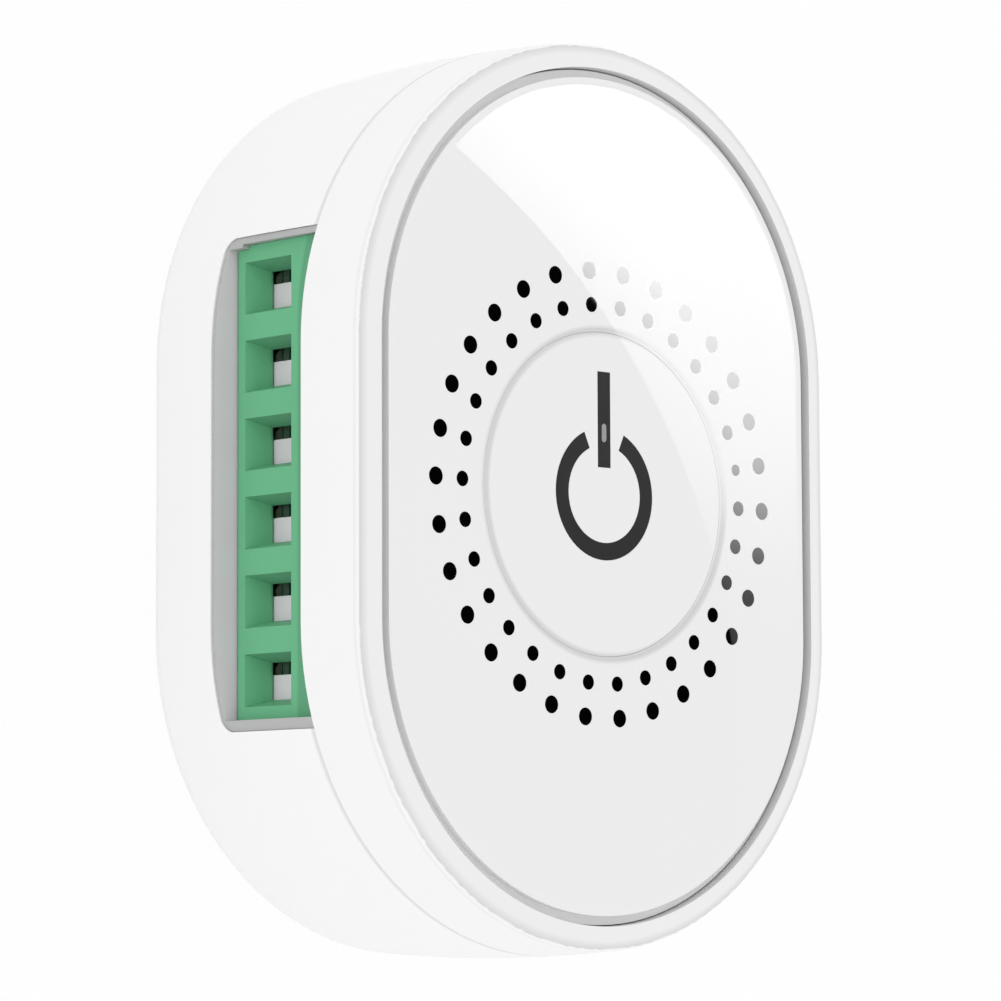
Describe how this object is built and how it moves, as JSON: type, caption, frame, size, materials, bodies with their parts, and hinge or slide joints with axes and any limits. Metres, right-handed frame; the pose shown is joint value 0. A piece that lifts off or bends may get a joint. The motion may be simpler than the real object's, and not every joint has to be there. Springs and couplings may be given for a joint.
{
  "type": "smart fan switch module",
  "caption": "Obround in-wall fan switch module with a round push button in a perforated front panel and a row of screw terminals in one side.",
  "frame": {"origin": "centre of the flat back face", "axes": "+Z out of the front face with the button, +Y along the length towards the button's bar, +X to the right seen from the front, so the terminals are on the -X side"},
  "size_m": [0.042, 0.0594, 0.021],
  "materials": {
    "housing_white": "satin",
    "panel_white": "gloss",
    "liner_grey": "matt",
    "dot_black": "gloss",
    "tape": "soft foam tape",
    "symbol_grey": "satin",
    "light_pipe": "frosted",
    "switch_black": "satin",
    "switch_plunger": "satin",
    "spring_steel": "bright",
    "lamp_resin": "gloss",
    "board_green": "solder mask",
    "relay_blue": "satin",
    "film_yellow": "satin",
    "can_sleeve": "gloss",
    "varistor_blue": "gloss",
    "resistor_green": "matt",
    "ferrite": "matt",
    "bobbin_black": "satin",
    "winding_tape": "gloss",
    "chip_black": "matt",
    "tinned_steel": "bright",
    "antenna_ceramic": "matt",
    "terminal_green": "satin",
    "tinned_brass": "bright",
    "zinc_steel": "bright"
  },
  "bodies": {
    "housing": {"rear_shell": "housing_white", "front_cover": "housing_white", "terminal_surround": "liner_grey", "front_panel": "panel_white", "dot_ring": "dot_black", "panel_tape": "tape", "tact_switch": "switch_black", "tact_dome": "spring_steel", "indicator_led": "lamp_resin", "main_board": "board_green", "relay_1": "relay_blue", "relay_2": "relay_blue", "relay_3": "relay_blue", "film_capacitor": "film_yellow", "bulk_capacitor": "can_sleeve", "output_capacitor": "can_sleeve", "varistor": "varistor_blue", "fuse_resistor": "resistor_green", "transformer_core": "ferrite", "transformer_bobbin": "bobbin_black", "transformer_winding": "winding_tape", "bridge_rectifier": "chip_black", "converter_chip": "chip_black", "radio_shield": "tinned_steel", "radio_chip": "chip_black", "chip_antenna": "antenna_ceramic", "driver_chips": "chip_black", "terminal_block": "terminal_green", "terminal_contacts": "tinned_brass"},
    "button": {"button_cap": "panel_white", "button_symbol": "symbol_grey", "led_window": "light_pipe"},
    "switch_plunger": {"tact_plunger": "switch_plunger"},
    "screw_1": {"terminal_screw_1": "zinc_steel"},
    "cage_1": {"clamp_cage_1": "zinc_steel"},
    "screw_2": {"terminal_screw_2": "zinc_steel"},
    "cage_2": {"clamp_cage_2": "zinc_steel"},
    "screw_3": {"terminal_screw_3": "zinc_steel"},
    "cage_3": {"clamp_cage_3": "zinc_steel"},
    "screw_4": {"terminal_screw_4": "zinc_steel"},
    "cage_4": {"clamp_cage_4": "zinc_steel"},
    "screw_5": {"terminal_screw_5": "zinc_steel"},
    "cage_5": {"clamp_cage_5": "zinc_steel"},
    "screw_6": {"terminal_screw_6": "zinc_steel"},
    "cage_6": {"clamp_cage_6": "zinc_steel"}
  },
  "joints": [
    {"name": "button_press", "type": "slide", "parent": "housing", "child": "button", "axis": [0, 0, -1], "range_m": [0, 0.0004], "stiffness_N_per_m": 4000, "springref_m": -0.0001},
    {"name": "plunger_press", "type": "slide", "parent": "housing", "child": "switch_plunger", "axis": [0, 0, -1], "range_m": [0, 0.0004], "deforming": ["tact_dome"]},
    {"name": "screw_turn_1", "type": "hinge", "parent": "housing", "child": "screw_1", "pos_m": [-0.0141, 0.01291, 0.003], "axis": [0, 0, -1], "range_deg": [0, 1800]},
    {"name": "cage_slide_1", "type": "slide", "parent": "housing", "child": "cage_1", "axis": [0, 0, 1], "range_m": [0, 0.00225]},
    {"name": "screw_turn_2", "type": "hinge", "parent": "housing", "child": "screw_2", "pos_m": [-0.0141, 0.00791, 0.003], "axis": [0, 0, -1], "range_deg": [0, 1800]},
    {"name": "cage_slide_2", "type": "slide", "parent": "housing", "child": "cage_2", "axis": [0, 0, 1], "range_m": [0, 0.00225]},
    {"name": "screw_turn_3", "type": "hinge", "parent": "housing", "child": "screw_3", "pos_m": [-0.0141, 0.00291, 0.003], "axis": [0, 0, -1], "range_deg": [0, 1800]},
    {"name": "cage_slide_3", "type": "slide", "parent": "housing", "child": "cage_3", "axis": [0, 0, 1], "range_m": [0, 0.00225]},
    {"name": "screw_turn_4", "type": "hinge", "parent": "housing", "child": "screw_4", "pos_m": [-0.0141, -0.00209, 0.003], "axis": [0, 0, -1], "range_deg": [0, 1800]},
    {"name": "cage_slide_4", "type": "slide", "parent": "housing", "child": "cage_4", "axis": [0, 0, 1], "range_m": [0, 0.00225]},
    {"name": "screw_turn_5", "type": "hinge", "parent": "housing", "child": "screw_5", "pos_m": [-0.0141, -0.00709, 0.003], "axis": [0, 0, -1], "range_deg": [0, 1800]},
    {"name": "cage_slide_5", "type": "slide", "parent": "housing", "child": "cage_5", "axis": [0, 0, 1], "range_m": [0, 0.00225]},
    {"name": "screw_turn_6", "type": "hinge", "parent": "housing", "child": "screw_6", "pos_m": [-0.0141, -0.01209, 0.003], "axis": [0, 0, -1], "range_deg": [0, 1800]},
    {"name": "cage_slide_6", "type": "slide", "parent": "housing", "child": "cage_6", "axis": [0, 0, 1], "range_m": [0, 0.00225]}
  ],
  "couplings": [
    {"joint": "plunger_press", "follows": "button_press", "ratio": 1},
    {"joint": "screw_turn_1", "follows": "cage_slide_1", "rad_per_m": 13963},
    {"joint": "screw_turn_2", "follows": "cage_slide_2", "rad_per_m": 13963},
    {"joint": "screw_turn_3", "follows": "cage_slide_3", "rad_per_m": 13963},
    {"joint": "screw_turn_4", "follows": "cage_slide_4", "rad_per_m": 13963},
    {"joint": "screw_turn_5", "follows": "cage_slide_5", "rad_per_m": 13963},
    {"joint": "screw_turn_6", "follows": "cage_slide_6", "rad_per_m": 13963}
  ]
}
